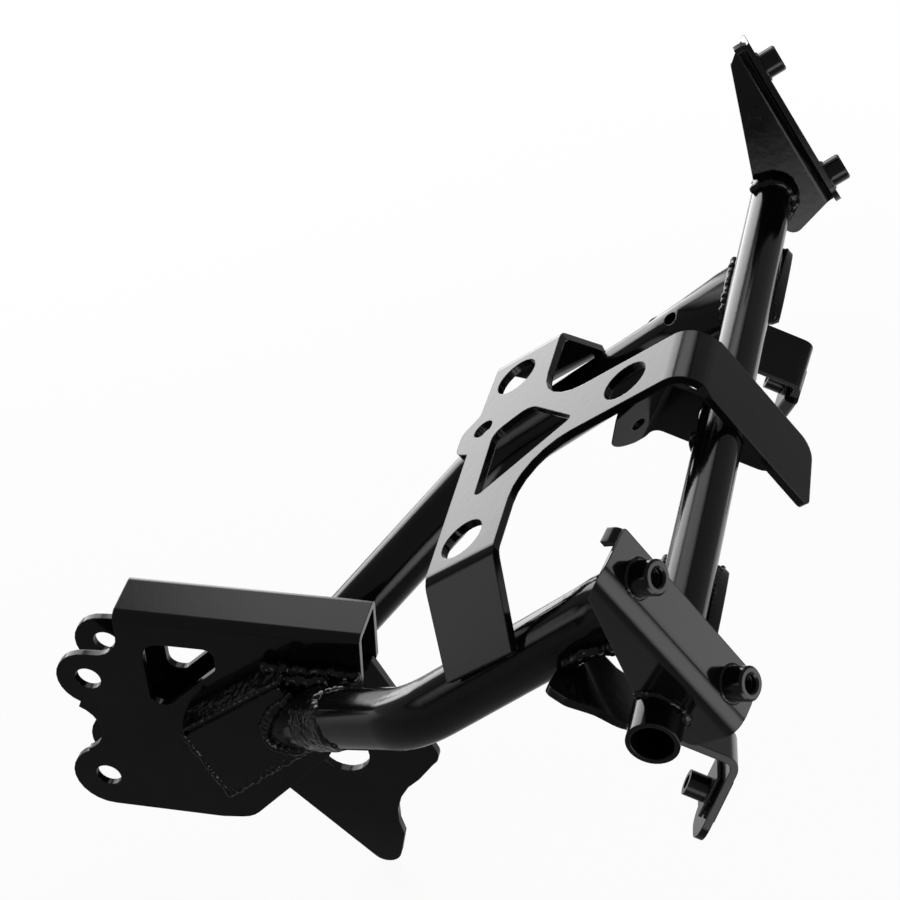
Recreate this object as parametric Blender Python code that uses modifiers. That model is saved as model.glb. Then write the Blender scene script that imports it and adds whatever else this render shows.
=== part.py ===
import math

import bmesh
import bpy
from mathutils import Matrix, Vector

# Units and shared sizes, in millimetres
MM = 0.001
GAP = 0.3
SHEET = 3.0
ARC_STEP = 15.0
REACH = 90.0
TRIM = 4.0

# Head channel
WEB_LENGTH = 97.5
CHANNEL_HALF = 12.0
CHANNEL_BEND = 2.5
EAR_HOLE_R = 5.3
EAR_UP = (-15.3, -36.5)
EAR_LOW = (-15.8, -90.2)
EAR_UP_R = 13.5
EAR_HOLE_UP = (-15.6, -35.7)
EAR_HOLE_LOW = (-16.3, -89.3)
EAR_LOW_R = 15.2
SCALLOP = (-27.8, -63.5)
SCALLOP_R = 13.0
SHOULDER_R = 12.0
CHANNEL_DEPTH = 120.0
CHANNEL_OUTLINE = (
    (WEB_LENGTH - 1.5, -29.0, 2),
    (79.0, -64.0, 14),
    (43.0, -104.0, 12),
    (30.0, -105.7, 6),
)
CHANNEL_WINDOW = (
    (9.3, -13.6, 7.5),
    (39.0, -13.6, 4.5),
    (38.2, -24.0, 3),
    (16.5, -45.5, 3.5),
    (9.0, -45.5, 4.5),
)

# Tubes
SIDE_R = 11.1
SIDE_WALL = 1.8
SIDE_X = 73.6
SIDE_BEND = 50.0
SIDE_BEND_STEP = 5.5
SIDE_START = (0.0, 47.0, -60.1)
SIDE_CORNER = (SIDE_X, 135.0, 25.0)
CROSS_R = 7.95
CROSS_WALL = 1.6
CROSS_HALF = 153.0
CROSS_Y = 230.9
CROSS_Z = 107.3
SIDE_PLAIN_Y = 205.0
FLARE = (
    (198.0, 0.0, 73.6, 10.9, 10.9),
    (204.0, 0.0, 73.6, 11.4, 11.3),
    (211.0, -0.4, 75.0, 13.5, 10.9),
    (219.0, -2.2, 80.5, 18.0, 9.6),
    (227.0, -5.4, 86.5, 21.8, 8.2),
    (234.5, -10.2, 89.5, 23.2, 6.8),
    (239.5, -15.0, 90.0, 23.2, 5.6),
    (241.5, -17.2, 90.0, 21.6, 3.8),
)
DRAIN_R = 2.6
DRAIN_Y = 207.0
DRAIN_DIR = (-0.3, -0.45, 0.85)

# Gusset boxes on the channel sides
BOX_X = 26.0
BOX_WALL = 2.6
BOX_RELIEF_Y = 72.0
BOX_RELIEF_Z = (-60.0, -34.0)
BOX_BEVEL = 1.6
BOX_CORNERS = ((26.5, -47.4), (41.0, -76.7), (82.2, -42.0), (68.5, -15.4))

# Gauge plate, in its own sloping plane
GAUGE_ORIGIN = (0.0, 197.9, 119.4)
GAUGE_SLOPE = math.radians(36.9)
GAUGE_HOLE_R = 8.75
GAUGE_HOLE = (45.6, -60.1)
GAUGE_BEND_X = 60.0
GAUGE_FOOT_X = 83.6
GAUGE_FOOT_DROP = 25.0
GAUGE_BEND_R = 7.0
GAUGE_REAR = -73.5
GAUGE_FRONT = -42.5
STEM_HALF = 13.0
STEM_FLARE = 1.6
STEM_BEND_S = 27.5
STEM_BEND_R = 9.0
STEM_DROP = 66.5
SMALL_HOLE = (-20.5, -69.2)
SMALL_HOLE_R = 4.2
GAUGE_ROOT_R = 22.0
GAUGE_TONGUE = ((-24.5, -80.5, 6), (-13.0, -80.5, 5.5), (-8.5, GAUGE_REAR, 1))
GAUGE_WINDOW = ((24.0, -61.5, 2.5), (4.5, -21.5, 2), (-19.0, -46.5, 9), (-13.5, -62.5, 6))

# Mirror plates, in the plane of the boss seats
MIRROR_INSET = 15.8
MIRROR_AHEAD = 20.5
MIRROR_ABOVE = 11.3
MIRROR_ORIGIN = (CROSS_HALF - MIRROR_INSET, CROSS_Y + MIRROR_AHEAD, CROSS_Z + MIRROR_ABOVE)
MIRROR_NORMAL = (0.335, 0.825, 0.455)
MIRROR_LONG = (0.11, -0.51, 0.85)
MIRROR_SHEET = 2.2
MIRROR_FOLD = 8.9
MIRROR_FOLD_R = 5.0
MIRROR_INNER = -8.0
MIRROR_BASE = -10.3
MIRROR_TOP = 61.5
LIP_DEPTH = 6.0
LIP_BEND = 2.4
LIP_INSET = 2.8
MIRROR_WING = (
    (MIRROR_BASE + 2.0, 10.0),
    (MIRROR_TOP + 3.0, 10.0),
    (MIRROR_TOP - 1.0, -1.5, 3),
    (53.2, -10.0, 3),
    (-2.0, -29.0, 3),
    (MIRROR_BASE - 6.5, -22.0, 4),
    (MIRROR_BASE, 0.0),
)
BOSS_SPACING = 48.4
BOSS_R = 5.1
BOSS_HOLE_R = 2.6
BOSS_LENGTH = 7.0
BOSS_CHAMFER = 0.6

# Side brackets under the tube ends
BRACKET_ORIGIN = (110.6, 247.5, 61.6)
BRACKET_RUN = (0.0, 0.923, -0.384)
BRACKET_ACROSS = (-0.93, -0.08, -0.35)
BRACKET_WIDTH = 20.5
BRACKET_SHEET = 2.5
BRACKET_KINK = -22.0
BRACKET_TILT = math.radians(11.0)
TAB_DROP = 33.0
TAB_BEND = 3.5
TAB_FOLD = 3.0
TAB_CORNER = 8.0
BRACKET_PAD = (
    (12.0, 0.0),
    (12.0, BRACKET_WIDTH),
    (-20.0, BRACKET_WIDTH, 14),
    (-37.5, 38.0, 9),
    (-44.0, 50.0, 4),
    (-53.0, 46.0, 4),
    (-59.0, 14.0, 6),
    (-52.0, 7.5, 5),
    (-43.0, 5.5, 8),
    (-35.0, 0.0, 8),
)

# Clips and their nuts on the bracket tabs
CLIP_SHEET = 1.2
CLIP_LENGTH = 15.5
CLIP_WIDTH = 15.0
CLIP_DROP = 18.0
NUT_R = 4.2
NUT_HOLE_R = 2.4
NUT_LENGTH = 6.8
NUT_SLACK = 1.2

# Centre bracket and lower plate
CENTRE_START = (209.0, 111.5)
CENTRE_SLOPE = math.radians(-22.0)
CENTRE_LENGTH = 46.0
CENTRE_HALF = 9.7
CENTRE_TURN = math.radians(50.0)
CENTRE_TAB = 24.0
CENTRE_DROP = 16.5
CENTRE_HOLE = (7.2, -6.7)
CENTRE_HOLE_R = 2.6
LOWER_X = -5.4
LOWER_HOLE = (79.0, -79.5)
LOWER_HOLE_R = 10.2
LOWER_REAR = (34.0, -83.0)
LOWER_TIP = (91.0, -134.0)
LOWER_TIP_R = 6.5
LOWER_SCALLOP = (128.0, -113.0)
LOWER_SCALLOP_R = 30.0
LOWER_LOBE = (111.5, -75.5)
LOWER_LOBE_R = 6.2
LOWER_TOP = ((95.0, -27.0), (70.0, -27.0))


def clear_scene():
    for item in list(bpy.data.objects):
        bpy.data.objects.remove(item, do_unlink=True)


def make_collections():
    made = []
    for label in ("motorcycle_fairing_stay", "cutters"):
        group = bpy.data.collections.new(label)
        bpy.context.scene.collection.children.link(group)
        made.append(group)
    return made


def frame_of(origin, ax, ay):
    x_dir = Vector(ax).normalized()
    y_dir = Vector(ay)
    y_dir = (y_dir - x_dir * y_dir.dot(x_dir)).normalized()
    z_dir = x_dir.cross(y_dir)
    turn = Matrix((x_dir, y_dir, z_dir)).transposed().to_4x4()
    return Matrix.Translation(Vector(origin) * MM) @ turn


def arc(centre, radius, start, end):
    steps = max(2, math.ceil(abs(end - start) / ARC_STEP))
    out = []
    for i in range(steps + 1):
        angle = math.radians(start + (end - start) * i / steps)
        out.append((centre[0] + radius * math.cos(angle), centre[1] + radius * math.sin(angle)))
    return out


def circle(centre, radius):
    return arc(centre, radius, 0.0, 360.0)[:-1]


def fillet(before, corner, after, radius, step=ARC_STEP):
    here = Vector(corner)
    u = (Vector(before) - here).normalized()
    v = (Vector(after) - here).normalized()
    half = u.angle(v) / 2
    if radius <= 0 or half > math.radians(89):
        return [tuple(here)]
    reach = radius / math.tan(half)
    centre = here + (u + v).normalized() * (radius / math.sin(half))
    first = here + u * reach - centre
    last = here + v * reach - centre
    sweep = first.angle(last)
    steps = max(1, math.ceil(math.degrees(sweep) / step))
    out = []
    for i in range(steps + 1):
        t = i / steps
        mix = first * math.sin((1 - t) * sweep) + last * math.sin(t * sweep)
        out.append(tuple(centre + mix / math.sin(sweep)))
    return out


def rounded(corners):
    out = []
    count = len(corners)
    for i, corner in enumerate(corners):
        radius = corner[2] if len(corner) > 2 else 0.0
        out += fillet(corners[i - 1][:2], corner[:2], corners[(i + 1) % count][:2], radius)
    return out


def bent_path(points, radius, step=ARC_STEP):
    out = [tuple(points[0])]
    for i in range(1, len(points) - 1):
        out += fillet(points[i - 1], points[i], points[i + 1], radius, step)
    out.append(tuple(points[-1]))
    return out


def band(points, radius, thickness):
    path = [Vector(p) for p in bent_path(points, radius)]
    left = []
    right = []
    for i, here in enumerate(path):
        ahead = path[min(i + 1, len(path) - 1)] - here
        back = here - path[max(i - 1, 0)]
        if ahead.length == 0:
            ahead = back
        if back.length == 0:
            back = ahead
        along = (ahead.normalized() + back.normalized()).normalized()
        wide = thickness / 2 / max(0.2, along.dot(ahead.normalized()))
        side = Vector((-along.y, along.x)) * wide
        left.append(tuple(here + side))
        right.append(tuple(here - side))
    return left + right[::-1]


def tidy(obj):
    work = bmesh.new()
    work.from_mesh(obj.data)
    bmesh.ops.remove_doubles(work, verts=work.verts, dist=1e-6)
    bmesh.ops.dissolve_degenerate(work, edges=work.edges, dist=1e-6)
    bmesh.ops.recalc_face_normals(work, faces=work.faces)
    work.to_mesh(obj.data)
    work.free()


def add_object(name, mesh, group):
    obj = bpy.data.objects.new(name, mesh)
    group.objects.link(obj)
    return obj


def bake_curve(name, curve, place, group):
    source = add_object(name, curve, group)
    source.matrix_world = place
    bpy.context.view_layer.update()
    graph = bpy.context.evaluated_depsgraph_get()
    mesh = bpy.data.meshes.new_from_object(source.evaluated_get(graph))
    mesh.transform(source.matrix_world)
    bpy.data.objects.remove(source, do_unlink=True)
    mesh.name = name
    obj = add_object(name, mesh, group)
    tidy(obj)
    return obj


def prism(name, loops, low, high, place, group):
    curve = bpy.data.curves.new(name, "CURVE")
    curve.dimensions = "2D"
    curve.fill_mode = "BOTH"
    curve.extrude = (high - low) / 2 * MM
    for loop in loops:
        line = curve.splines.new("POLY")
        line.points.add(len(loop) - 1)
        for point, (x, y) in zip(line.points, loop):
            point.co = (x * MM, y * MM, 0.0, 1.0)
        line.use_cyclic_u = True
    lift = Matrix.Translation((0.0, 0.0, (low + high) / 2 * MM))
    return bake_curve(name, curve, place @ lift, group)


def rod(name, start, end, radius, group):
    a = Vector(start) * MM
    b = Vector(end) * MM
    along = (b - a).normalized()
    side = along.orthogonal()
    place = frame_of(((a + b) / 2 / MM)[:], side, along.cross(side))
    mesh = bpy.data.meshes.new(name)
    work = bmesh.new()
    bmesh.ops.create_cone(
        work,
        cap_ends=True,
        segments=36,
        radius1=radius * MM,
        radius2=radius * MM,
        depth=(b - a).length,
        matrix=place,
    )
    work.to_mesh(mesh)
    work.free()
    obj = add_object(name, mesh, group)
    tidy(obj)
    return obj


def piped(name, points, radius, group):
    curve = bpy.data.curves.new(name, "CURVE")
    curve.dimensions = "3D"
    curve.twist_mode = "MINIMUM"
    curve.bevel_depth = radius * MM
    curve.bevel_resolution = 7
    curve.use_fill_caps = True
    line = curve.splines.new("POLY")
    line.points.add(len(points) - 1)
    for point, place in zip(line.points, points):
        point.co = (place[0] * MM, place[1] * MM, place[2] * MM, 1.0)
    return bake_curve(name, curve, Matrix.Identity(4), group)


def lofted(name, rings, group, sides=36):
    work = bmesh.new()
    loops = []
    for i, (centre, half_wide, half_high) in enumerate(rings):
        ahead = rings[min(i + 1, len(rings) - 1)][0] - rings[max(i - 1, 0)][0]
        rise = Vector((0.0, -ahead.z, ahead.y)).normalized()
        loop = []
        for k in range(sides):
            angle = 2 * math.pi * k / sides
            across = Vector((half_wide * math.cos(angle), 0.0, 0.0))
            loop.append(work.verts.new((centre + across + rise * half_high * math.sin(angle)) * MM))
        loops.append(loop)
    for low, high in zip(loops, loops[1:]):
        for k in range(sides):
            work.faces.new((low[k], low[(k + 1) % sides], high[(k + 1) % sides], high[k]))
    work.faces.new(loops[0])
    work.faces.new(loops[-1])
    mesh = bpy.data.meshes.new(name)
    work.to_mesh(mesh)
    work.free()
    obj = add_object(name, mesh, group)
    tidy(obj)
    return obj


def boolean(obj, other, operation):
    step = obj.modifiers.new("step", "BOOLEAN")
    step.operation = operation
    step.solver = "EXACT"
    step.object = other
    bpy.context.view_layer.update()
    graph = bpy.context.evaluated_depsgraph_get()
    mesh = bpy.data.meshes.new_from_object(obj.evaluated_get(graph))
    obj.modifiers.remove(step)
    mesh.name = obj.name
    obj.data = mesh
    tidy(obj)


def cut(obj, *others):
    for other in others:
        boolean(obj, other, "DIFFERENCE")


def mirrored(obj, name, group):
    mesh = obj.data.copy()
    mesh.transform(Matrix.Scale(-1.0, 4, (1.0, 0.0, 0.0)))
    mesh.flip_normals()
    mesh.name = name
    return add_object(name, mesh, group)


def paint(obj):
    skin = bpy.data.materials.new(obj.name + "_enamel")
    skin.use_nodes = True
    shader = skin.node_tree.nodes["Principled BSDF"]
    shader.inputs["Base Color"].default_value = (0.02, 0.02, 0.021, 1.0)
    shader.inputs["Roughness"].default_value = 0.25
    obj.data.materials.clear()
    obj.data.materials.append(skin)


def smooth_round(obj, limit=32.0):
    for face in obj.data.polygons:
        face.use_smooth = True
    work = bmesh.new()
    work.from_mesh(obj.data)
    for edge in work.edges:
        edge.smooth = edge.calc_face_angle(0.0) < math.radians(limit)
    work.to_mesh(obj.data)
    work.free()


clear_scene()
parts, cutters = make_collections()
cutters.hide_render = True

# Planes used for drawing: side view, front view and plan
side_view = frame_of((0, 0, 0), (0, 1, 0), (0, 0, 1))
front_view = frame_of((0, 0, 0), (0, 0, 1), (1, 0, 0))
gauge_g = (0.0, math.cos(GAUGE_SLOPE), math.sin(GAUGE_SLOPE))
gauge_n = (0.0, -math.sin(GAUGE_SLOPE), math.cos(GAUGE_SLOPE))
gauge_plan = frame_of(GAUGE_ORIGIN, (1, 0, 0), gauge_g)
gauge_front = frame_of(GAUGE_ORIGIN, gauge_n, (1, 0, 0))
gauge_side = frame_of(GAUGE_ORIGIN, gauge_g, gauge_n)

# Side tube line and the clearance bodies that other pieces are cut with
corner = Vector(SIDE_CORNER)
start = Vector(SIDE_START)
upper_dir = Vector((0.0, CROSS_Y - corner.y, CROSS_Z - corner.z)).normalized()
top_end = Vector((SIDE_X, CROSS_Y, CROSS_Z))
side_line = bent_path((start, corner, top_end), SIDE_BEND, SIDE_BEND_STEP)
side_clear = piped("side_clear", side_line, SIDE_R + GAP, cutters)
side_clear_left = mirrored(side_clear, "side_clear_left", cutters)
cross_a = (-CROSS_HALF, CROSS_Y, CROSS_Z)
cross_b = (CROSS_HALF, CROSS_Y, CROSS_Z)
far_a = (-CROSS_HALF - TRIM, CROSS_Y, CROSS_Z)
far_b = (CROSS_HALF + TRIM, CROSS_Y, CROSS_Z)
cross_clear = rod("cross_clear", far_a, far_b, CROSS_R + GAP, cutters)

# Head channel: one folded sheet with two ears and a window on each side
profile = [(0.0, TRIM), (WEB_LENGTH, TRIM)]
profile += rounded([(WEB_LENGTH, TRIM), *CHANNEL_OUTLINE, (EAR_LOW[0], EAR_LOW[1] - EAR_LOW_R)])[1:]
profile += arc(EAR_LOW, EAR_LOW_R, -105.0, -245.0)
profile += arc(SCALLOP, SCALLOP_R, -65.0, 65.0)
profile += arc(EAR_UP, EAR_UP_R, 245.0, 90.0)
shoulder = (EAR_UP[0] + 3.0, EAR_UP[1] + EAR_UP_R + SHOULDER_R)
profile += arc(shoulder, SHOULDER_R, -90.0, 0.0)[1:]
ear_holes = [circle(place, EAR_HOLE_R) for place in (EAR_HOLE_UP, EAR_HOLE_LOW)]
outline = [profile, rounded(CHANNEL_WINDOW)] + ear_holes
head_channel = prism("head_channel", outline, -CHANNEL_HALF - TRIM, CHANNEL_HALF + TRIM, side_view, parts)
mid = CHANNEL_HALF - SHEET / 2
legs = ((-CHANNEL_DEPTH, mid), (-SHEET / 2, mid), (-SHEET / 2, -mid), (-CHANNEL_DEPTH, -mid))
fold = band(legs, CHANNEL_BEND, SHEET)
fold_body = prism("fold_body", [fold], -REACH, WEB_LENGTH + TRIM, front_view, cutters)
boolean(head_channel, fold_body, "INTERSECT")

# Gusset boxes: shallow caps over the tube roots, open at the front
outer = rounded([(*BOX_CORNERS[0], 4), (*BOX_CORNERS[1], 4), (*BOX_CORNERS[2], 2), (*BOX_CORNERS[3], 2)])
gusset = prism("gusset_box_right", [outer], CHANNEL_HALF + GAP, BOX_X, side_view, parts)
soften = gusset.modifiers.new("soften", "BEVEL")
soften.width = BOX_BEVEL * MM
soften.segments = 3
soften.limit_method = "ANGLE"
soften.angle_limit = math.radians(50)
bpy.context.view_layer.update()
baked = bpy.data.meshes.new_from_object(gusset.evaluated_get(bpy.context.evaluated_depsgraph_get()))
gusset.modifiers.remove(soften)
gusset.data = baked
run = (Vector(BOX_CORNERS[2]) - Vector(BOX_CORNERS[1])).normalized()
rise = (Vector(BOX_CORNERS[0]) - Vector(BOX_CORNERS[1])).normalized()
low_in = Vector(BOX_CORNERS[1]) + run * BOX_WALL + rise * BOX_WALL
high_in = Vector(BOX_CORNERS[0]) + run * BOX_WALL - rise * BOX_WALL
hollow = [tuple(low_in), tuple(low_in + run * REACH), tuple(high_in + run * REACH), tuple(high_in)]
cavity = prism("cavity", [hollow], 0, BOX_X - BOX_WALL, side_view, cutters)
relief_low, relief_high = BOX_RELIEF_Z
relief_end = BOX_RELIEF_Y + REACH
relief = [(BOX_RELIEF_Y, relief_low), (relief_end, relief_low)]
relief += [(relief_end, relief_high), (BOX_RELIEF_Y, relief_high)]
corner_relief = prism("corner_relief", [relief], 0, BOX_X - BOX_WALL - BOX_BEVEL, side_view, cutters)
cut(gusset, cavity, side_clear, corner_relief)
gusset_left = mirrored(gusset, "gusset_box_left", parts)

# Side tubes: bent, hollow, trimmed flat at the channel, with a squashed end that runs under the cross tube
slope = upper_dir.z / upper_dir.y
plain_end = corner + upper_dir * ((SIDE_PLAIN_Y - corner.y) / upper_dir.y)
plain_line = bent_path((start, corner, plain_end), SIDE_BEND, SIDE_BEND_STEP)
side_tube = piped("side_tube_right", plain_line, SIDE_R, parts)
rings = []
for y, lower, x_mid, half_wide, half_high in FLARE:
    centre = Vector((x_mid, y, corner.z + (y - corner.y) * slope + lower))
    rings.append((centre, half_wide, half_high))
boolean(side_tube, lofted("flare", rings, cutters), "UNION")
bore_end = plain_end - upper_dir * SIDE_R
side_bore_line = bent_path((start - (corner - start) * 0.1, corner, bore_end), SIDE_BEND, SIDE_BEND_STEP)
side_bore = piped("side_bore", side_bore_line, SIDE_R - SIDE_WALL, cutters)
flat = [(-REACH, -2 * REACH), (2 * REACH, -2 * REACH), (2 * REACH, REACH), (-REACH, REACH)]
channel_block = prism("channel_block", [flat], -REACH, CHANNEL_HALF + GAP, side_view, cutters)
drain_at = Vector((SIDE_X, DRAIN_Y, corner.z + (DRAIN_Y - corner.y) * slope))
drain_dir = Vector(DRAIN_DIR).normalized()
drain = rod("drain", drain_at[:], (drain_at + drain_dir * 2 * SIDE_R)[:], DRAIN_R, cutters)
cut(side_tube, side_bore, channel_block, cross_clear, drain)
side_tube_left = mirrored(side_tube, "side_tube_left", parts)

# Cross tube
cross_tube = rod("cross_tube", cross_a, cross_b, CROSS_R, parts)
cross_bore = rod("cross_bore", far_a, far_b, CROSS_R - CROSS_WALL, cutters)
cut(cross_tube, cross_bore)

# Gauge plate: one sheet, with two side legs and a long front leg bent down
foot = (-GAUGE_FOOT_DROP, GAUGE_FOOT_X)
knee = (-SHEET / 2, GAUGE_BEND_X)
spread = band((foot, knee, (knee[0], -knee[1]), (foot[0], -foot[1])), GAUGE_BEND_R, SHEET)
gauge = prism("gauge_plate", [spread], -REACH, REACH, gauge_front, parts)
foot_out = GAUGE_FOOT_X + TRIM
plan = rounded([
    *GAUGE_TONGUE,
    (GAUGE_BEND_X, GAUGE_REAR + 1.0, 6),
    (foot_out, GAUGE_REAR - 3.0, 2),
    (foot_out, GAUGE_FRONT - 6.0, 2),
    (GAUGE_BEND_X, GAUGE_FRONT, 6),
    (STEM_HALF, GAUGE_FRONT, GAUGE_ROOT_R),
    (STEM_HALF, STEM_BEND_S),
    (-STEM_HALF, STEM_BEND_S),
    (-STEM_HALF, GAUGE_FRONT, GAUGE_ROOT_R),
    (-GAUGE_BEND_X, GAUGE_FRONT, 6),
    (-foot_out, GAUGE_FRONT - 6.0, 2),
    (-foot_out, GAUGE_REAR - 3.0, 2),
    (-GAUGE_BEND_X, GAUGE_REAR + 1.0, 6),
    (-31.0, GAUGE_REAR, 4),
])
holes = [rounded(GAUGE_WINDOW), circle(SMALL_HOLE, SMALL_HOLE_R), circle((0, 0), GAUGE_HOLE_R)]
holes += [circle((side * GAUGE_HOLE[0], GAUGE_HOLE[1]), GAUGE_HOLE_R) for side in (1, -1)]
plan_body = prism("plan_body", [plan] + holes, -REACH, REACH, gauge_plan, cutters)
boolean(gauge, plan_body, "INTERSECT")
trim_s = STEM_BEND_S - STEM_BEND_R - SHEET - TRIM
beyond = [(-REACH, trim_s), (REACH, trim_s), (REACH, 2 * REACH), (-REACH, 2 * REACH)]
cut(gauge, prism("beyond", [beyond], -REACH, REACH, gauge_plan, cutters))
drop_line = ((trim_s - GAP, -SHEET / 2), (STEM_BEND_S, -SHEET / 2), (STEM_BEND_S, -STEM_DROP))
hang = band(drop_line, STEM_BEND_R, SHEET)
half = STEM_HALF + STEM_FLARE
stem = prism("stem", [hang], -half, half, gauge_side, cutters)
face = rounded([
    (12.0, -STEM_HALF),
    (-9.0, -STEM_HALF, 3),
    (-12.0, -half, 3),
    (-STEM_DROP + 3, -half, 7),
    (-STEM_DROP, half, 3),
    (-12.0, half, 3),
    (-9.0, STEM_HALF, 3),
    (12.0, STEM_HALF),
])
leg_face = frame_of(GAUGE_ORIGIN, gauge_n, (1, 0, 0))
boolean(stem, prism("leg_body", [face], -REACH, REACH, leg_face, cutters), "INTERSECT")
boolean(gauge, stem, "UNION")
cut(gauge, cross_clear, side_clear, side_clear_left)

# Mirror plates: an L fold with a tapered flange and a short lip at the rear
normal = Vector(MIRROR_NORMAL).normalized()
long_dir = Vector(MIRROR_LONG)
long_dir = (long_dir - normal * long_dir.dot(normal)).normalized()
wide_dir = normal.cross(long_dir)
mid = MIRROR_SHEET / 2
ell = band(((-REACH, -mid), (MIRROR_FOLD, -mid), (MIRROR_FOLD, -REACH)), MIRROR_FOLD_R, MIRROR_SHEET)
mirror_end = frame_of(MIRROR_ORIGIN, wide_dir, normal)
mirror = prism("mirror_plate_right", [ell], -REACH, REACH, mirror_end, parts)
outer = MIRROR_FOLD + mid
flat_shape = rounded([
    (MIRROR_BASE, MIRROR_INNER, 8),
    (MIRROR_BASE, outer - 4.0),
    (MIRROR_BASE - 12.0, outer - 3.0),
    (MIRROR_BASE - 12.0, outer + 2.0),
    (MIRROR_TOP, outer + 2.0),
    (MIRROR_TOP, MIRROR_INNER, 2),
])
mirror_face = frame_of(MIRROR_ORIGIN, long_dir, wide_dir)
boolean(mirror, prism("mirror_flat", [flat_shape], -REACH, REACH, mirror_face, cutters), "INTERSECT")
mirror_side = frame_of(MIRROR_ORIGIN, long_dir, normal)
wing = prism("mirror_wing", [rounded(MIRROR_WING)], -REACH, REACH, mirror_side, cutters)
boolean(mirror, wing, "INTERSECT")
lip_line = ((MIRROR_TOP - 2 * LIP_DEPTH, -mid), (MIRROR_TOP - mid, -mid), (MIRROR_TOP - mid, -LIP_DEPTH))
lip = band(lip_line, LIP_BEND, MIRROR_SHEET)
lip_body = prism("lip_body", [lip], LIP_INSET, -MIRROR_INNER - 0.2, mirror_side, cutters)
boolean(mirror, lip_body, "UNION")
cut(mirror, cross_clear, side_clear)

# Mirror bosses: turned, threaded bosses seated on the plates
bosses = []
for label, along in (("rear", BOSS_SPACING), ("front", 0.0)):
    seat = Vector(MIRROR_ORIGIN) + long_dir * along
    through = normal * BOSS_R
    cut(mirror, rod("bore_" + label, (seat - through)[:], (seat + through)[:], BOSS_HOLE_R, cutters))
    mesh = bpy.data.meshes.new("mirror_boss_" + label + "_right")
    work = bmesh.new()
    turned = [
        (BOSS_R, GAP),
        (BOSS_R, BOSS_LENGTH - BOSS_CHAMFER),
        (BOSS_R - BOSS_CHAMFER, BOSS_LENGTH),
        (BOSS_HOLE_R + BOSS_CHAMFER, BOSS_LENGTH),
        (BOSS_HOLE_R, BOSS_LENGTH - BOSS_CHAMFER),
        (BOSS_HOLE_R, GAP),
    ]
    chain = [work.verts.new((r * MM, 0.0, z * MM)) for r, z in turned]
    ring = [work.edges.new((chain[i], chain[(i + 1) % len(chain)])) for i in range(len(chain))]
    bmesh.ops.spin(
        work,
        geom=chain + ring,
        cent=(0, 0, 0),
        axis=(0, 0, 1),
        angle=2 * math.pi,
        steps=32,
        use_merge=True,
    )
    work.to_mesh(mesh)
    work.free()
    mesh.transform(frame_of(seat[:], long_dir, wide_dir))
    boss = add_object(mesh.name, mesh, parts)
    tidy(boss)
    bosses.append(boss)
    mirrored(boss, "mirror_boss_" + label + "_left", parts)
mirror_left = mirrored(mirror, "mirror_plate_left", parts)

# Side brackets: flat pad under the tubes, with a tab folded down at the front
across = Vector(BRACKET_ACROSS)
forward = Vector(BRACKET_RUN).normalized()
across = (across - forward * across.dot(forward)).normalized()
up = forward.cross(across)
if up.z < 0:
    up = -up
bracket_side = frame_of(BRACKET_ORIGIN, forward, up)
mid = BRACKET_SHEET / 2
rear = (BRACKET_KINK - REACH * math.cos(BRACKET_TILT), -mid - REACH * math.sin(BRACKET_TILT))
ell = band((rear, (BRACKET_KINK, -mid), (TAB_FOLD, -mid), (TAB_FOLD, -TAB_DROP)), TAB_BEND, BRACKET_SHEET)
bracket = prism("side_bracket_right", [ell], -REACH, REACH, bracket_side, parts)
bracket_plan = frame_of(BRACKET_ORIGIN, forward, across)
boolean(bracket, prism("pad", [rounded(BRACKET_PAD)], -REACH, REACH, bracket_plan, cutters), "INTERSECT")
tab_face = frame_of(BRACKET_ORIGIN, across, up)
tab_shape = rounded([
    (-REACH, TRIM),
    (REACH, TRIM),
    (REACH, -TAB_DROP / 2),
    (BRACKET_WIDTH, -TAB_DROP / 2),
    (BRACKET_WIDTH, -TAB_DROP, TAB_CORNER),
    (0.0, -TAB_DROP, TAB_CORNER),
    (0.0, -TAB_DROP / 2),
    (-REACH, -TAB_DROP / 2),
])
boolean(bracket, prism("tab_shape", [tab_shape], -REACH, REACH, tab_face, cutters), "INTERSECT")
cut(bracket, side_clear, cross_clear)
tab_mid = BRACKET_WIDTH / 2
nut_line = Vector(BRACKET_ORIGIN) + across * tab_mid - up * CLIP_DROP
bore_a = nut_line - forward * 2 * CLIP_LENGTH
bore_b = nut_line + forward * 2 * CLIP_LENGTH
pierce = rod("pierce", bore_a[:], bore_b[:], NUT_HOLE_R + NUT_SLACK, cutters)
cut(bracket, pierce)
bracket_left = mirrored(bracket, "side_bracket_left", parts)

# Clips: spring U clips over the tabs, each with a barrel nut behind
front_face = TAB_FOLD + BRACKET_SHEET / 2 + GAP + CLIP_SHEET / 2
back_face = TAB_FOLD - BRACKET_SHEET / 2 - GAP - CLIP_SHEET / 2
wrap = BRACKET_WIDTH + GAP + CLIP_SHEET / 2
tip = wrap - CLIP_LENGTH
u_path = ((back_face, tip), (back_face, wrap), (front_face, wrap), (front_face, tip))
clip_place = frame_of((Vector(BRACKET_ORIGIN) - up * CLIP_DROP)[:], forward, across)
clip_band = band(u_path, CLIP_SHEET, CLIP_SHEET)
clip = prism("clip_right", [clip_band], -CLIP_WIDTH / 2, CLIP_WIDTH / 2, clip_place, parts)
clip_bore = rod("clip_bore", bore_a[:], bore_b[:], NUT_HOLE_R, cutters)
cut(clip, clip_bore)
clip_left = mirrored(clip, "clip_left", parts)
nut_face = back_face - CLIP_SHEET / 2 - GAP
nut_a = nut_line + forward * nut_face
nut_b = nut_a - forward * NUT_LENGTH
nut = rod("clip_nut_right", nut_a[:], nut_b[:], NUT_R, parts)
cut(nut, clip_bore)
nut_left = mirrored(nut, "clip_nut_left", parts)

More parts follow.
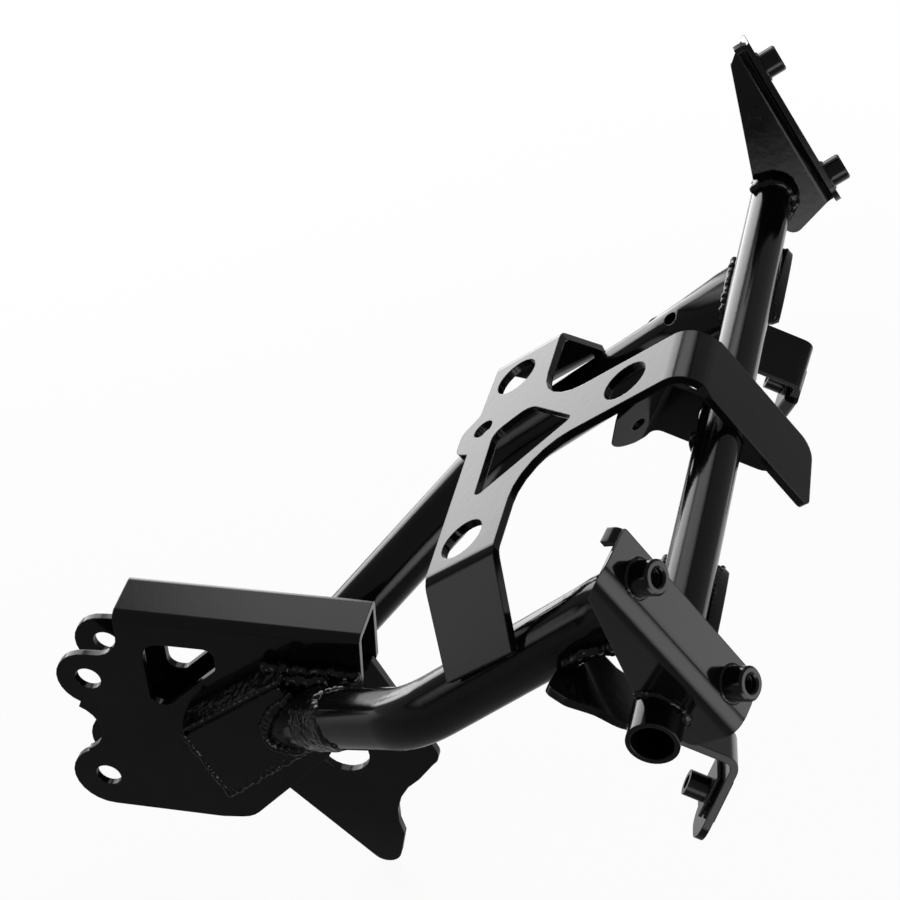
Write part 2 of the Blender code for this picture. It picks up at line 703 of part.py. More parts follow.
# Centre bracket: upright strip under the cross tube with a turned tab
strip_run = (math.cos(CENTRE_SLOPE), math.sin(CENTRE_SLOPE))
strip_up = (-strip_run[1], strip_run[0])
centre_dir = Vector((0.0, *strip_run))
centre_up = Vector((0.0, *strip_up))
centre_origin = (0.0, *CENTRE_START)
tab_reach = math.cos(CENTRE_TURN)
fold_line = (
    (-CENTRE_TAB * tab_reach, CENTRE_TAB * math.sin(CENTRE_TURN)),
    (0.0, 0.0),
    (CENTRE_LENGTH, 0.0),
)
side_dir = Vector((1.0, 0.0, 0.0))
centre_plan = frame_of(centre_origin, centre_dir, side_dir)
strip = prism("centre_bracket", [band(fold_line, 4.0, SHEET)], -REACH, REACH, centre_plan, parts)
strip_face = frame_of(centre_origin, centre_dir, centre_up)
strip_shape = rounded([
    (-22.0 * tab_reach, CENTRE_HALF, 3),
    (-14.0 * tab_reach, -CENTRE_DROP, 6),
    (0.5, -CENTRE_DROP, 4),
    (2.5, -CENTRE_HALF, 4),
    (CENTRE_LENGTH, -CENTRE_HALF, 6),
    (CENTRE_LENGTH, CENTRE_HALF),
])
boolean(strip, prism("strip_shape", [strip_shape], -REACH, REACH, strip_face, cutters), "INTERSECT")
tab_dir = side_dir * math.sin(CENTRE_TURN) - centre_dir * tab_reach
tab_hole = Vector(centre_origin) + tab_dir * CENTRE_HOLE[0] + centre_up * CENTRE_HOLE[1]
hole_axis = side_dir * tab_reach + centre_dir * math.sin(CENTRE_TURN)
hole_a = tab_hole - hole_axis * CENTRE_HALF
hole_b = tab_hole + hole_axis * CENTRE_HALF
cut(strip, rod("tab_hole", hole_a[:], hole_b[:], CENTRE_HOLE_R, cutters))
leg_back = STEM_BEND_S - SHEET / 2 - GAP
ahead = [(leg_back, -2 * REACH), (leg_back + REACH, -2 * REACH)]
ahead += [(leg_back + REACH, REACH), (leg_back, REACH)]
cut(strip, prism("leg_clear", [ahead], -REACH, REACH, gauge_side, cutters))
under = -SHEET - GAP
above = [(-REACH, under), (leg_back, under), (leg_back, REACH), (-REACH, REACH)]
cut(strip, prism("plate_clear", [above], -REACH, REACH, gauge_side, cutters))
cut(strip, cross_clear)

# Lower plate: upright sheet against the inside of the left channel wall
plate = [LOWER_REAR]
plate += arc(LOWER_TIP, LOWER_TIP_R, 225.0, 350.0)
plate += arc(LOWER_SCALLOP, LOWER_SCALLOP_R, 200.0, 130.0)
plate += arc(LOWER_LOBE, LOWER_LOBE_R, -50.0, 30.0)
plate += list(LOWER_TOP)
lower_low = -CHANNEL_HALF + SHEET + GAP
lower_loops = [plate, circle(LOWER_HOLE, LOWER_HOLE_R)]
lower = prism("lower_plate", lower_loops, lower_low, LOWER_X, side_view, parts)

# Row origin: the middle of the web's underside, where the part sits over its lug
seat = Vector((0.0, WEB_LENGTH / 2, -SHEET))
to_seat = Matrix.Translation(-seat * MM)
for obj in list(parts.objects) + list(cutters.objects):
    obj.data.transform(to_seat)

# Shading and materials
for obj in parts.objects:
    smooth_round(obj)
    paint(obj)
for obj in cutters.objects:
    obj.hide_render = True
    obj.display_type = "WIRE"
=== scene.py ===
import math
import random

import bmesh
import bpy
from mathutils import Matrix, Vector
from mathutils.bvhtree import BVHTree


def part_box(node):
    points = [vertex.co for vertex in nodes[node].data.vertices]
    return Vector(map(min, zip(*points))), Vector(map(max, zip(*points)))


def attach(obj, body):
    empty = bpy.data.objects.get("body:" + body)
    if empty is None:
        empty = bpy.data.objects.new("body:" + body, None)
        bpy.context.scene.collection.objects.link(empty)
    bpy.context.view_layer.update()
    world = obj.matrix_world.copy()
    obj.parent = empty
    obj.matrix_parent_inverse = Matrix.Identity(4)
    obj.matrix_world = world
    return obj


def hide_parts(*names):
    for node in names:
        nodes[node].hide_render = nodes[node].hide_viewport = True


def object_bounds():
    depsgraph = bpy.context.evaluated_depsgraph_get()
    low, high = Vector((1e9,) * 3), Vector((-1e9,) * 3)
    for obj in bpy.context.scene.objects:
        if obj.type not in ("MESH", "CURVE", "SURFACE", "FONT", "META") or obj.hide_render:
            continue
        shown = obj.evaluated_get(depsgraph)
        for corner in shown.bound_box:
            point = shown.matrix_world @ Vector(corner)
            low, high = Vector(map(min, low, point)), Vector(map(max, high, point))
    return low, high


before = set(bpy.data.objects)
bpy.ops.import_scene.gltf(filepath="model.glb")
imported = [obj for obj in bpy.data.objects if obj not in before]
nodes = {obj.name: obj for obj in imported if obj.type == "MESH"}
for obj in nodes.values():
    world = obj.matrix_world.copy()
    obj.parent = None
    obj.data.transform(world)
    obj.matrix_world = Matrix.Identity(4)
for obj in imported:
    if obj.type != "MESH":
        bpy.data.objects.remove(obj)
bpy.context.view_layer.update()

mm = 0.001
drawingShift = Vector((0.0, -48.75, 3.0))  # from the drawing's zero to the middle of the seat
print("frame loaded,", len(nodes), "solids")


def at(x, y, z):
    # a point given in drawing millimetres, in the scene's metres
    return (Vector((x, y, z)) + drawingShift) * mm


# Camera
shot = {
    "place": (0.61307, 0.263536, 0.58386),
    "right": (-0.221065, 0.972513, -0.073136),
    "up": (-0.613719, -0.080441, 0.785416),
    "back": (0.757944, 0.218513, 0.614633),
    "lens": 93.14,
    "sensor": 36.0,
    "nearest": 0.01,
}
eye = bpy.data.cameras.new("stayCamera")
eye.lens = shot["lens"]
eye.sensor_width = shot["sensor"]
eye.clip_start = shot["nearest"]
eyeObject = bpy.data.objects.new("stayCamera", eye)
bpy.context.scene.collection.objects.link(eyeObject)
turn = Matrix((shot["right"], shot["up"], shot["back"])).transposed().to_4x4()
eyeObject.matrix_world = Matrix.Translation(shot["place"]) @ turn
bpy.context.scene.camera = eyeObject


class Signal:
    # a shader socket that can stand in a sum or a product

    def __init__(self, desk, socket):
        self.desk = desk
        self.socket = socket

    def combine(self, operation, first, second):
        node = self.desk.add("ShaderNodeMath", {"operation": operation}, {0: first, 1: second})
        return Signal(self.desk, node.outputs[0])

    def __add__(self, other):
        return self.combine("ADD", self, other)

    def __radd__(self, other):
        return self.combine("ADD", other, self)

    def __mul__(self, other):
        return self.combine("MULTIPLY", self, other)

    def __rmul__(self, other):
        return self.combine("MULTIPLY", other, self)


class Desk:
    # one node tree, and the one way its nodes are made

    def __init__(self, tree):
        self.tree = tree
        self.tree.nodes.clear()

    def add(self, kind, settings=None, sockets=None):
        node = self.tree.nodes.new(kind)
        for key, value in (settings or {}).items():
            if key == "stops":
                for element, (place, shade) in zip(node.color_ramp.elements, value):
                    element.position = place
                    element.color = (shade, shade, shade, 1.0)
            else:
                setattr(node, key, value)
        for key, value in (sockets or {}).items():
            if isinstance(value, Signal):
                self.tree.links.new(value.socket, node.inputs[key])
            else:
                node.inputs[key].default_value = value
        return node

    def get(self, kind, settings=None, sockets=None, output=0):
        return Signal(self, self.add(kind, settings, sockets).outputs[output])


def newMaterial(title):
    material = bpy.data.materials.new(title)
    material.use_nodes = True
    return material, Desk(material.node_tree)


# Finishes
glossEnamel = {
    "colour": (0.0018, 0.0018, 0.002, 1.0),
    "haze": (0.0042, 0.0042, 0.0045, 1.0),
    "specular": 0.22,
    "roughness": 0.085,
    "roughSpread": 0.07,
    "cloudScale": 38.0,
    "cloudEnds": (0.35, 0.7),
    "cloudShare": 0.7,
    "dustScale": 260.0,
    "dustEnds": (0.03, 0.075),
    "dustShare": 0.3,
    "dustRough": 0.12,
    "dustRise": 0.4,
    "peelScale": 330.0,
    "peelDepth": 0.00002,
    "grainScale": 1500.0,
    "grainShare": 0.12,
    "edgeRound": 0.0006,
    "edgeSamples": 4,
}
beadEnamel = dict(
    glossEnamel,
    roughness=0.07,
    peelScale=700.0,
    peelDepth=0.00007,
    edgeRound=0.0003,
)
sprungSteel = dict(
    glossEnamel,
    colour=(0.0035, 0.0035, 0.0038, 1.0),
    haze=(0.008, 0.008, 0.0085, 1.0),
    roughness=0.2,
    peelScale=900.0,
    edgeRound=0.0002,
)


def enamel(title, look):
    # black paint with faint cloudy haze, dust nibs and orange peel
    material, desk = newMaterial(title)
    place = desk.get("ShaderNodeTexCoord", output="Object")
    cloudSockets = {"Vector": place, "Scale": look["cloudScale"], "Detail": 4.0, "Roughness": 0.6}
    cloud = desk.get("ShaderNodeTexNoise", None, cloudSockets)
    peelSockets = {"Vector": place, "Scale": look["peelScale"], "Detail": 1.0}
    peel = desk.get("ShaderNodeTexNoise", None, peelSockets)
    grainSockets = {"Vector": place, "Scale": look["grainScale"], "Detail": 2.0}
    grain = desk.get("ShaderNodeTexNoise", None, grainSockets)
    dustSockets = {"Vector": place, "Scale": look["dustScale"]}
    dust = desk.get("ShaderNodeTexVoronoi", None, dustSockets, output="Distance")
    dustStops = ((look["dustEnds"][0], 1.0), (look["dustEnds"][1], 0.0))
    speck = desk.get("ShaderNodeValToRGB", {"stops": dustStops}, {"Fac": dust})
    cloudStops = ((look["cloudEnds"][0], 0.0), (look["cloudEnds"][1], 1.0))
    patch = desk.get("ShaderNodeValToRGB", {"stops": cloudStops}, {"Fac": cloud})
    mixing = patch * look["cloudShare"] + speck * look["dustShare"]
    toneSockets = {0: mixing, 6: look["colour"], 7: look["haze"]}
    tone = desk.get("ShaderNodeMix", {"data_type": "RGBA"}, toneSockets, output=2)
    rough = patch * look["roughSpread"] + speck * look["dustRough"] + look["roughness"]
    rounded = desk.get(
        "ShaderNodeBevel", {"samples": look["edgeSamples"]}, {"Radius": look["edgeRound"]}
    )
    relief = desk.get(
        "ShaderNodeBump",
        None,
        {
            "Height": peel + grain * look["grainShare"] + speck * look["dustRise"],
            "Strength": 1.0,
            "Distance": look["peelDepth"],
            "Normal": rounded,
        },
    )
    shader = desk.get(
        "ShaderNodeBsdfPrincipled",
        None,
        {
            "Base Color": tone,
            "Roughness": rough,
            "Specular IOR Level": look["specular"],
            "Normal": relief,
        },
    )
    desk.add("ShaderNodeOutputMaterial", None, {"Surface": shader})
    return material


enamelSkin = enamel("blackGlossEnamel", glossEnamel)
beadSkin = enamel("enamelOverWeld", beadEnamel)
steelSkin = enamel("blackSprungSteel", sprungSteel)
print("finishes ready")


# Solids: each is shown by a merged copy, so that round shapes shade as round
dressed = {"join": 0.00002, "crease": 34.0, "flat": 0.4, "normalWeight": 80}
clipNodes = ("clip_right", "clip_left", "clip_nut_right", "clip_nut_left")


def finishMesh(name, work, skin, crease):
    mesh = bpy.data.meshes.new(name)
    for face in work.faces:
        face.smooth = True
    for edge in work.edges:
        edge.smooth = edge.calc_face_angle(0.0) < math.radians(crease)
    work.to_mesh(mesh)
    work.free()
    mesh.materials.append(skin)
    piece = bpy.data.objects.new(name, mesh)
    bpy.context.scene.collection.objects.link(piece)
    even = piece.modifiers.new("evenNormals", "WEIGHTED_NORMAL")
    even.keep_sharp = True
    even.weight = dressed["normalWeight"]
    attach(piece, "root")
    return piece


def dressNode(name):
    skin = steelSkin if name in clipNodes else enamelSkin
    work = bmesh.new()
    work.from_mesh(nodes[name].data)
    bmesh.ops.remove_doubles(work, verts=work.verts, dist=dressed["join"])
    bmesh.ops.dissolve_limit(
        work, angle_limit=math.radians(dressed["flat"]), verts=work.verts, edges=work.edges
    )
    piece = finishMesh(name + "_skin", work, skin, dressed["crease"])
    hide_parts(name)


for nodeName in sorted(nodes):
    dressNode(nodeName)
print("solids dressed")

# Weld beads
surfaces = {}


def surfaceOf(name):
    if name not in surfaces:
        mesh = nodes[name].data
        points = [v.co.copy() for v in mesh.vertices]
        faces = [tuple(p.vertices) for p in mesh.polygons]
        surfaces[name] = BVHTree.FromPolygons(points, faces)
    return surfaces[name]


def firstHit(origin, direction, names):
    best = None
    for name in names:
        hit, normal, index, distance = surfaceOf(name).ray_cast(origin, direction)
        if hit is not None and (best is None or distance < best[1]):
            best = (hit, distance)
    return best[0] if best else None


def ringPath(centre, axis, radius, names, steps=40):
    # where straight lines along a tube's skin meet the pieces it is welded to
    axis = Vector(axis).normalized()
    side = axis.orthogonal().normalized()
    other = axis.cross(side)
    points = []
    for i in range(steps + 1):
        angle = math.radians(360.0 * i / steps)
        radial = side * math.cos(angle) + other * math.sin(angle)
        hit = firstHit(centre + radial * radius * mm, axis, names)
        if hit is not None:
            points.append(hit)
    return points


def pathRuns(points, gap=9.0):
    # one run for each stretch without a jump
    runs = [[points[0]]] if points else []
    for before, here in zip(points, points[1:]):
        if (here - before).length > gap * mm:
            runs.append([])
        runs[-1].append(here)
    return [run for run in runs if len(run) > 2]


def stepAlong(points, spacing):
    out = [points[0]]
    travelled = 0.0
    for before, here in zip(points, points[1:]):
        length = (here - before).length
        travelled += length
        while travelled >= spacing:
            travelled -= spacing
            share = 1.0 - travelled / length if length > 0 else 1.0
            out.append(before.lerp(here, share))
    return out


bead = {
    "voxel": 0.00045,
    "spacing": 0.62,
    "jitter": 0.16,
    "wander": 0.14,
    "squash": 0.78,
    "settle": 3,
    "settleSmooth": 12,
    "settleShare": 0.5,
    "leftSeed": 50,  # added to the seed for the left copy
}


def weldBead(name, passes, seed, rough=1.0):
    # lumps of metal laid along each run and melted into one skin
    rng = random.Random(seed)
    work = bmesh.new()
    for run, size in passes:
        for point in stepAlong(run, size * bead["spacing"] * mm):
            swell = size * mm * (1.0 + rng.uniform(-bead["jitter"], bead["jitter"]) * rough)
            drift = [rng.uniform(-bead["wander"], bead["wander"]) for axis in range(3)]
            wander = Vector(drift) * size * rough * mm
            lump = Matrix.Translation(point + wander)
            lump = lump @ Matrix.Rotation(rng.uniform(0, math.pi), 4, Vector((1, 2, 1)))
            lump = lump @ Matrix.Diagonal((swell, swell * bead["squash"], swell, 1.0))
            bmesh.ops.create_icosphere(work, subdivisions=2, radius=1.0, matrix=lump)
    mesh = bpy.data.meshes.new(name + "Raw")
    work.to_mesh(mesh)
    work.free()
    raw = bpy.data.objects.new(name + "Raw", mesh)
    bpy.context.scene.collection.objects.link(raw)
    melt = raw.modifiers.new("melt", "REMESH")
    melt.mode = "VOXEL"
    melt.voxel_size = bead["voxel"]
    settle = raw.modifiers.new("settle", "SMOOTH")
    settle.factor = bead["settleShare"]
    settle.iterations = bead["settle"] if rough >= 1.0 else bead["settleSmooth"]
    bpy.context.view_layer.update()
    graph = bpy.context.evaluated_depsgraph_get()
    melted = bpy.data.meshes.new_from_object(raw.evaluated_get(graph))
    bpy.data.objects.remove(raw, do_unlink=True)
    work = bmesh.new()
    work.from_mesh(melted)
    bpy.data.meshes.remove(melted)
    for face in work.faces:
        face.smooth = True
    mesh = bpy.data.meshes.new(name)
    work.to_mesh(mesh)
    work.free()
    mesh.materials.append(beadSkin)
    piece = bpy.data.objects.new(name, mesh)
    bpy.context.scene.collection.objects.link(piece)
    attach(piece, "root")


def sized(runs, radius):
    return [(run, radius) for run in runs]


def mirrored(run):
    return [Vector((-p.x, p.y, p.z)) for p in run]


def bothSides(name, runs, radius, seed, rough=1.0):
    weldBead(name + "_right", sized(runs, radius), seed, rough)
    leftRuns = [mirrored(run) for run in runs]
    weldBead(name + "_left", sized(leftRuns, radius), seed + bead["leftSeed"], rough)


def moved(runs, direction, distance):
    return [[point + direction * distance * mm for point in run] for run in runs]


def straightRun(first, last, count=10):
    return [at(*(Vector(first).lerp(Vector(last), i / count))) for i in range(count + 1)]


def snapped(run, name, lift):
    out = []
    for point in run:
        spot, normal, index, distance = surfaceOf(name).find_nearest(point)
        out.append(spot + normal * lift * mm)
    return out


tube = {"start": (0.0, 47.0, -60.1), "corner": (73.6, 135.0, 25.0), "radius": 11.1}
cross = {"y": 230.9, "z": 107.3, "radius": 7.95}
down = Vector((0.0, 0.0, -1.0))
outwards = Vector((1.0, 0.0, 0.0))

# Tube roots: a ring at each box, and on the right a sleeve of weld metal that ends ragged
rootWeld = {"bead": 2.5, "from": 78.0, "off": 0.3, "steps": 60}
rootAxis = (Vector(tube["corner"]) - Vector(tube["start"])).normalized()
rootPoint = at(*(Vector(tube["start"]) + rootAxis * rootWeld["from"]))
rootNodes = ["gusset_box_right", "head_channel"]
rootRadius = tube["radius"] + rootWeld["off"]
rootRing = pathRuns(ringPath(rootPoint, -rootAxis, rootRadius, rootNodes, rootWeld["steps"]))
bothSides("weld_root", rootRing, rootWeld["bead"], seed=1)

sleeve = {
    "bead": 2.6,
    "sunk": 1.5,
    "first": 60.0,
    "last": 83.0,
    "sway": 4.5,
    "ragged": 2.2,
    "strips": 34,
    "rough": 0.6,
}
rag = random.Random(4)
acrossRoot = rootAxis.orthogonal().normalized()
overRoot = rootAxis.cross(acrossRoot)
sleeveRuns = []
for i in range(sleeve["strips"]):
    angle = 2 * math.pi * i / sleeve["strips"]
    radial = acrossRoot * math.cos(angle) + overRoot * math.sin(angle)
    sway = sleeve["sway"] * math.sin(2 * angle)
    last = sleeve["last"] + sway + rag.uniform(-1, 1) * sleeve["ragged"]
    foot = Vector(tube["start"]) + radial * (tube["radius"] - sleeve["sunk"])
    sleeveRuns.append([at(*(foot + rootAxis * sleeve["first"])), at(*(foot + rootAxis * last))])
weldBead("weld_sleeve_right", sized(sleeveRuns, sleeve["bead"]), seed=21, rough=sleeve["rough"])

# Boxes: a wide fillet on top, lumps over the right tube and a bead round the outer corners
boxCorner = {
    "front": (68.5, -15.4),
    "top": (26.5, -47.4),
    "low": (41.0, -76.7),
    "end": (82.2, -42.0),
}
boxWeld = {
    "fillet": ((14.0, 3.9), (15.7, 3.5), (17.4, 3.1), (19.1, 2.7), (20.8, 2.3), (22.5, 1.9)),
    "filletRough": 0.25,
    "lumps": (
        ((15.2, 61.0, -17.0), (15.2, 95.0, -16.0), 14),
        ((19.5, 66.0, -17.6), (20.5, 84.0, -15.5), 10),
    ),
    "lump": 2.6,
    "lumpRough": 1.9,
    "outerX": 25.0,
    "seam": 1.7,
    "seamRough": 1.2,
}
filletPasses = []
for x, size in boxWeld["fillet"]:
    run = straightRun((x, *boxCorner["top"]), (x, *boxCorner["front"]), count=16)
    filletPasses.append((run, size))
leftPasses = [(mirrored(run), size) for run, size in filletPasses]
weldBead("weld_box_top_right", filletPasses, seed=30, rough=boxWeld["filletRough"])
weldBead("weld_box_top_left", leftPasses, seed=31, rough=boxWeld["filletRough"])
lumpPasses = sized([straightRun(*lumps) for lumps in boxWeld["lumps"]], boxWeld["lump"])
weldBead("weld_lumps_right", lumpPasses, seed=22, rough=boxWeld["lumpRough"])
outerX = boxWeld["outerX"]
seamRuns = [
    straightRun((outerX, *boxCorner["top"]), (outerX, *boxCorner["low"])),
    straightRun((outerX, *boxCorner["low"]), (outerX, *boxCorner["end"])),
]
bothSides("weld_box_seam", seamRuns, boxWeld["seam"], seed=3, rough=boxWeld["seamRough"])

# Crossing: the squashed ends of the side tubes against the cross tube
crossingWeld = {
    "rear": 2.0,
    "rearRough": 1.3,
    "front": 0.95,
    "frontDrop": 0.7,
    "first": 66.0,
    "last": 112.0,
    "stand": 0.8,
    "points": 24,
    "above": 150.0,
}
rearRun = []
frontRun = []
away = cross["radius"] + crossingWeld["stand"]
lastPoint = crossingWeld["points"] - 1
for i in range(crossingWeld["points"]):
    x = crossingWeld["first"] + (crossingWeld["last"] - crossingWeld["first"]) * i / lastPoint
    for y, run in ((cross["y"] - away, rearRun), (cross["y"] + away, frontRun)):
        hit = firstHit(at(x, y, crossingWeld["above"]), down, ["side_tube_right"])
        if hit is not None:
            run.append(hit)
rearRuns = pathRuns(rearRun)
frontRuns = moved(pathRuns(frontRun), down, crossingWeld["frontDrop"])
rearRough = crossingWeld["rearRough"]
bothSides("weld_crossing_rear", rearRuns, crossingWeld["rear"], seed=4, rough=rearRough)
bothSides("weld_crossing_front", frontRuns, crossingWeld["front"], seed=5)

# Mirror plates on the cross tube, inside and outside
mirrorWeld = {
    "innerX": 112.0,
    "outerX": 165.0,
    "off": 0.4,
    "inner": 2.2,
    "innerRough": 0.7,
    "passes": (2.4, 4.6),
    "outer": 1.5,
}
mirrorRadius = cross["radius"] + mirrorWeld["off"]
innerPoint = at(mirrorWeld["innerX"], cross["y"], cross["z"])
outerPoint = at(mirrorWeld["outerX"], cross["y"], cross["z"])
innerRuns = pathRuns(ringPath(innerPoint, outwards, mirrorRadius, ["mirror_plate_right"]))
outerRuns = pathRuns(ringPath(outerPoint, -outwards, mirrorRadius, ["mirror_plate_right"]))
innerPasses = list(innerRuns)
for distance in mirrorWeld["passes"]:
    innerPasses += moved(innerRuns, -outwards, distance)
innerRough = mirrorWeld["innerRough"]
bothSides("weld_mirror_inner", innerPasses, mirrorWeld["inner"], seed=6, rough=innerRough)
bothSides("weld_mirror_outer", outerRuns, mirrorWeld["outer"], seed=7)

# Side brackets under the tubes
padWeld = {
    "rear": (100.0, 193.0, 70.0),
    "front": (84.0, 214.0, 78.0),
    "lift": 0.3,
    "second": 2.2,
    "bead": 2.3,
    "rough": 1.5,
}
padLine = straightRun(padWeld["rear"], padWeld["front"], count=12)
padRun = snapped(padLine, "side_tube_right", padWeld["lift"])
padRuns = [padRun] + moved([padRun], outwards, padWeld["second"])
bothSides("weld_bracket", padRuns, padWeld["bead"], seed=8, rough=padWeld["rough"])

# Gauge plate's feet on the side tubes
gaugeFoot = {
    "origin": (0.0, 197.9, 119.4),
    "slope": math.radians(36.9),
    "bend": (60.0, -1.5),
    "end": (83.6, -25.0),
    "rear": -76.0,
    "front": -47.5,
    "inside": 2.4,
    "outside": 2.2,
    "points": 15,
    "bead": 1.5,
}


def onGauge(x, g, n):
    # x across, g up the plate's slope and n off its face, from the plate's own origin
    slope = gaugeFoot["slope"]
    forward = g * math.cos(slope) - n * math.sin(slope)
    upward = g * math.sin(slope) + n * math.cos(slope)
    return at(*(Vector(gaugeFoot["origin"]) + Vector((x, forward, upward))))


fall = (Vector(gaugeFoot["end"]) - Vector(gaugeFoot["bend"])).normalized()
aside = Vector((-fall.y, fall.x))
lastPoint = gaugeFoot["points"] - 1
footRuns = []
for stand in (-gaugeFoot["inside"], gaugeFoot["outside"]):
    run = []
    for i in range(gaugeFoot["points"]):
        g = gaugeFoot["rear"] + (gaugeFoot["front"] - gaugeFoot["rear"]) * i / lastPoint
        x, n = Vector(gaugeFoot["bend"]) + aside * stand
        first = onGauge(x, g, n)
        along = (onGauge(x + fall.x, g, n + fall.y) - first).normalized()
        hit = firstHit(first, along, ["side_tube_right"])
        if hit is not None:
            run.append(hit)
    footRuns += pathRuns(run)
bothSides("weld_foot", footRuns, gaugeFoot["bead"], seed=9)

# Gauge plate's front leg on the cross tube
legWeld = {"top": (15.4, 222.0, 112.0), "bottom": (15.4, 224.0, 101.0), "lift": 0.3, "bead": 1.4}
legLine = straightRun(legWeld["top"], legWeld["bottom"], count=6)
legRun = snapped(legLine, "cross_tube", legWeld["lift"])
bothSides("weld_leg", [legRun], legWeld["bead"], seed=10)

# A bead round the foot of each mirror boss
bossDirection = (0.335, 0.825, 0.455)
bossWeld = {"bead": 0.85, "ring": 5.3, "above": 9.0, "gap": 4.0}
bossAxis = Vector(bossDirection).normalized()
for label in ("rear", "front"):
    bottom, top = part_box("mirror_boss_" + label + "_right")
    above = (bottom + top) / 2 + bossAxis * bossWeld["above"] * mm
    points = ringPath(above, -bossAxis, bossWeld["ring"], ["mirror_plate_right"])
    ring = pathRuns(points, bossWeld["gap"])
    bothSides("weld_boss_" + label, ring, bossWeld["bead"], seed=11 + len(label))
print("weld beads laid")

# Threads in the bosses and the clip nuts
thread = {
    "pitch": 1.0,
    "depth": 0.42,
    "root": 0.05,
    "flank": 0.36,
    "runOut": 1.0,
    "steps": 24,
    "join": 1e-7,
    "crease": 40.0,
    "boss": (bossDirection, 2.6, 6.0),  # direction, radius and length
    "nut": ((0.0, 0.923, -0.384), 2.4, 6.0),
}


def threadIn(name, node, form, skin):
    # a ridge that winds along the bore of a turned piece
    direction, radius, length = form
    bottom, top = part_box(node)
    middle = (bottom + top) / 2
    axis = Vector(direction).normalized()
    if middle.x < 0:
        axis.x = -axis.x
    side = axis.orthogonal().normalized()
    start = middle - axis * length * 0.5 * mm
    work = bmesh.new()
    half = thread["pitch"] * thread["flank"] * mm
    corners = [
        start + side * (radius + thread["root"]) * mm - axis * half,
        start + side * (radius - thread["depth"]) * mm,
        start + side * (radius + thread["root"]) * mm + axis * half,
    ]
    face = work.faces.new([work.verts.new(corner) for corner in corners])
    turns = (length - thread["runOut"]) / thread["pitch"]
    count = int(turns * thread["steps"])
    bmesh.ops.spin(
        work,
        geom=[face] + list(face.edges) + list(face.verts),
        cent=start,
        axis=axis,
        dvec=axis * thread["pitch"] * mm / thread["steps"],
        angle=2 * math.pi * count / thread["steps"],
        steps=count,
        use_merge=False,
    )
    bmesh.ops.remove_doubles(work, verts=work.verts, dist=thread["join"])
    bmesh.ops.recalc_face_normals(work, faces=work.faces)
    finishMesh(name, work, skin, thread["crease"])


for side in ("right", "left"):
    for label in ("rear", "front"):
        bossNode = "mirror_boss_" + label + "_" + side
        title = "thread_" + label + "_" + side
        threadIn(title, bossNode, thread["boss"], enamelSkin)
    threadIn("thread_nut_" + side, "clip_nut_" + side, thread["nut"], steelSkin)
print("threads cut")

# Stage: a floor and surround, white to the camera and with strengths of their own in reflections
stage = {
    "floorRadius": 0.78,
    "floorSides": 96,
    "floorMiddle": (0.0, 0.08),
    "floorDrop": 0.0006,
    "rim": (0.42, 0.72),
    "whiteShare": 0.93,
    "chalk": (0.86, 0.86, 0.86, 1),
    "mirrored": 0.22,
    "mirroredBehind": 0.8,
    "behind": (0.02, -0.2),
    "surround": 0.3,
}
white = (1, 1, 1, 1)
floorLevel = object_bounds()[0][2] - stage["floorDrop"]
floorMaterial, desk = newMaterial("paleFloor")
path = desk.add("ShaderNodeLightPath")
seenCamera = Signal(desk, path.outputs["Is Camera Ray"])
seenGlossy = Signal(desk, path.outputs["Is Glossy Ray"])
seenMirrored = seenGlossy + Signal(desk, path.outputs["Is Transmission Ray"])
place = desk.get("ShaderNodeTexCoord", output="Object")
reach = desk.get("ShaderNodeVectorMath", {"operation": "LENGTH"}, {0: place}, output="Value")
rimSockets = {"Value": reach, "From Min": stage["rim"][0], "From Max": stage["rim"][1]}
rim = desk.get("ShaderNodeMapRange", None, rimSockets)
parts = desk.add("ShaderNodeSeparateXYZ", None, {"Vector": place})
across = Signal(desk, parts.outputs["X"])
behindSockets = {"Value": across, "From Min": stage["behind"][0], "From Max": stage["behind"][1]}
behind = desk.get("ShaderNodeMapRange", None, behindSockets)
glow = seenMirrored * (behind * stage["mirroredBehind"] + stage["mirrored"])
lit = desk.get("ShaderNodeEmission", None, {"Color": white, "Strength": seenCamera + glow})
chalk = desk.get("ShaderNodeBsdfDiffuse", None, {"Color": stage["chalk"]})
share = rim * (1.0 - stage["whiteShare"]) + stage["whiteShare"]
showLight = seenCamera * share + seenMirrored
mixed = desk.get("ShaderNodeMixShader", None, {0: showLight, 1: chalk, 2: lit})
desk.add("ShaderNodeOutputMaterial", None, {"Surface": mixed})
work = bmesh.new()
bmesh.ops.create_circle(
    work, cap_ends=True, segments=stage["floorSides"], radius=stage["floorRadius"]
)
floorMesh = bpy.data.meshes.new("floor")
work.to_mesh(floorMesh)
work.free()
floorMesh.materials.append(floorMaterial)
floor = bpy.data.objects.new("floor", floorMesh)
bpy.context.scene.collection.objects.link(floor)
floor.location = (*stage["floorMiddle"], floorLevel)

world = bpy.data.worlds.new("paleSurround")
bpy.context.scene.world = world
world.use_nodes = True
desk = Desk(world.node_tree)
path = desk.add("ShaderNodeLightPath")
seenCamera = Signal(desk, path.outputs["Is Camera Ray"])
strength = seenCamera * (1.0 - stage["surround"]) + stage["surround"]
sky = desk.get("ShaderNodeBackground", None, {"Color": white, "Strength": strength})
desk.add("ShaderNodeOutputWorld", None, {"Surface": sky})

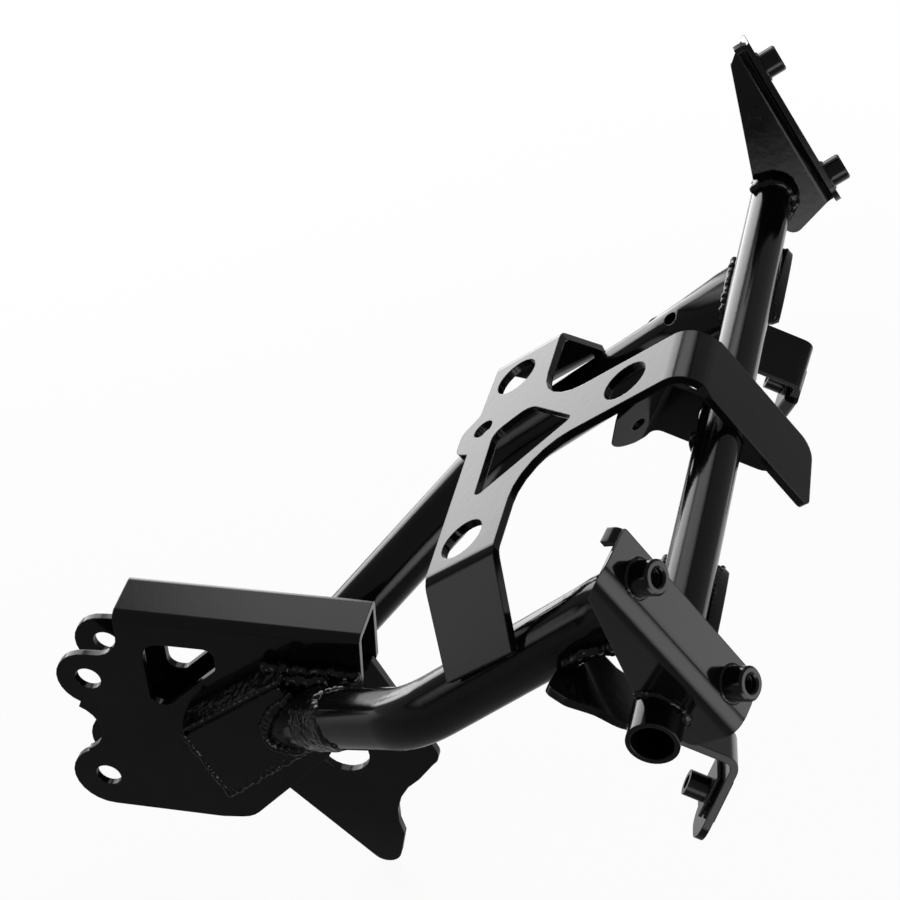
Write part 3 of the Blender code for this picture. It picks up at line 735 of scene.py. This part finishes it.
# Soft panels of light round the part, which the enamel mirrors
panels = {
    "panelLeft": {
        "toward": (-0.77, -0.6, 0.13), "distance": 1.05, "size": (0.9, 1.0),
        "level": 4.8, "soft": 0.3,
    },
    "panelRight": {
        "toward": (0.08, 0.99, 0.04), "distance": 1.1, "size": (1.5, 0.75),
        "level": 3.2, "soft": 0.6,
    },
    "panelTop": {
        "toward": (-0.7, -0.18, 0.7), "distance": 1.1, "size": (0.9, 0.6),
        "level": 2.5, "soft": 0.6,
    },
    "panelRear": {
        "toward": (0.37, -0.88, 0.3), "distance": 1.1, "size": (0.8, 0.6),
        "level": 2.0, "soft": 0.8,
    },
    "panelLow": {
        "toward": (0.42, 0.4, -0.04), "distance": 0.58, "size": (1.1, 0.42),
        "level": 4.4, "soft": 0.7,
        "facing": (-0.6, -0.4, 0.7),
    },
}
target = Vector((0.0, 0.1, 0.03))  # the panels stand round this point


def softPanel(label, panel):
    # a sheet of light that fades towards its edges and that the camera doesn't see
    width, height = panel["size"]
    material, desk = newMaterial(label + "Glow")
    place = desk.get("ShaderNodeTexCoord", output="Object")
    scaled = desk.get(
        "ShaderNodeMapping",
        {"vector_type": "POINT"},
        {"Vector": place, "Scale": (2 / width, 2 / height, 0)},
    )
    parts = desk.add("ShaderNodeSeparateXYZ", None, {"Vector": scaled})
    fades = []
    for axis in ("X", "Y"):
        offset = Signal(desk, parts.outputs[axis])
        away = desk.get("ShaderNodeMath", {"operation": "ABSOLUTE"}, {0: offset})
        fades.append(
            desk.get(
                "ShaderNodeMapRange",
                {"interpolation_type": "SMOOTHSTEP"},
                {
                    "Value": away,
                    "From Min": 1.0 - panel["soft"],
                    "From Max": 1.0,
                    "To Min": 1.0,
                    "To Max": 0.0,
                },
            )
        )
    level = fades[0] * fades[1] * panel["level"]
    glow = desk.get("ShaderNodeEmission", None, {"Color": white, "Strength": level})
    desk.add("ShaderNodeOutputMaterial", None, {"Surface": glow})
    work = bmesh.new()
    bmesh.ops.create_grid(work, x_segments=1, y_segments=1, size=0.5)
    bmesh.ops.scale(work, vec=(width, height, 1.0), verts=work.verts)
    mesh = bpy.data.meshes.new(label)
    work.to_mesh(mesh)
    work.free()
    mesh.materials.append(material)
    sheet = bpy.data.objects.new(label, mesh)
    bpy.context.scene.collection.objects.link(sheet)
    toward = Vector(panel["toward"]).normalized()
    facing = Vector(panel.get("facing", toward)).to_track_quat("Z", "Y").to_matrix().to_4x4()
    sheet.matrix_world = Matrix.Translation(target + toward * panel["distance"]) @ facing
    sheet.visible_camera = False
    sheet.visible_shadow = False


for label, panel in panels.items():
    softPanel(label, panel)
bpy.context.scene.view_settings.view_transform = "Standard"
print("stage lit")
